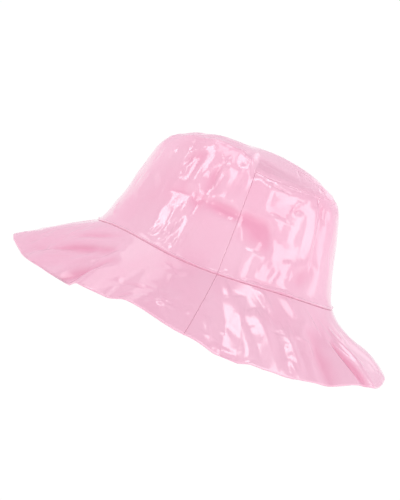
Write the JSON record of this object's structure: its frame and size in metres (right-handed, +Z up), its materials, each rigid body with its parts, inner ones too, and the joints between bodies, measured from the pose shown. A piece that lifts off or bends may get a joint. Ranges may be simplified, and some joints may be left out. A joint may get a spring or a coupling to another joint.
{
  "type": "wide brim rain hat",
  "caption": "Soft bucket-shaped rain hat with an oval dented crown and a wide wavy sloping brim, sewn from glossy coated sheet.",
  "frame": {"origin": "on the floor under the middle of the hat's box", "axes": "+Z up out of the floor the brim rests on, -X towards the hat's front, +Y towards the wearer's right"},
  "size_m": [0.318, 0.2808, 0.1496],
  "materials": {
    "coated_sheet": "soft pink coated sheet, wet-look gloss with fine wrinkles"
  },
  "bodies": {
    "root": {"crown_top": "coated_sheet", "crown_front": "coated_sheet", "crown_back": "coated_sheet", "brim_front": "coated_sheet", "brim_back": "coated_sheet"}
  },
  "joints": []
}
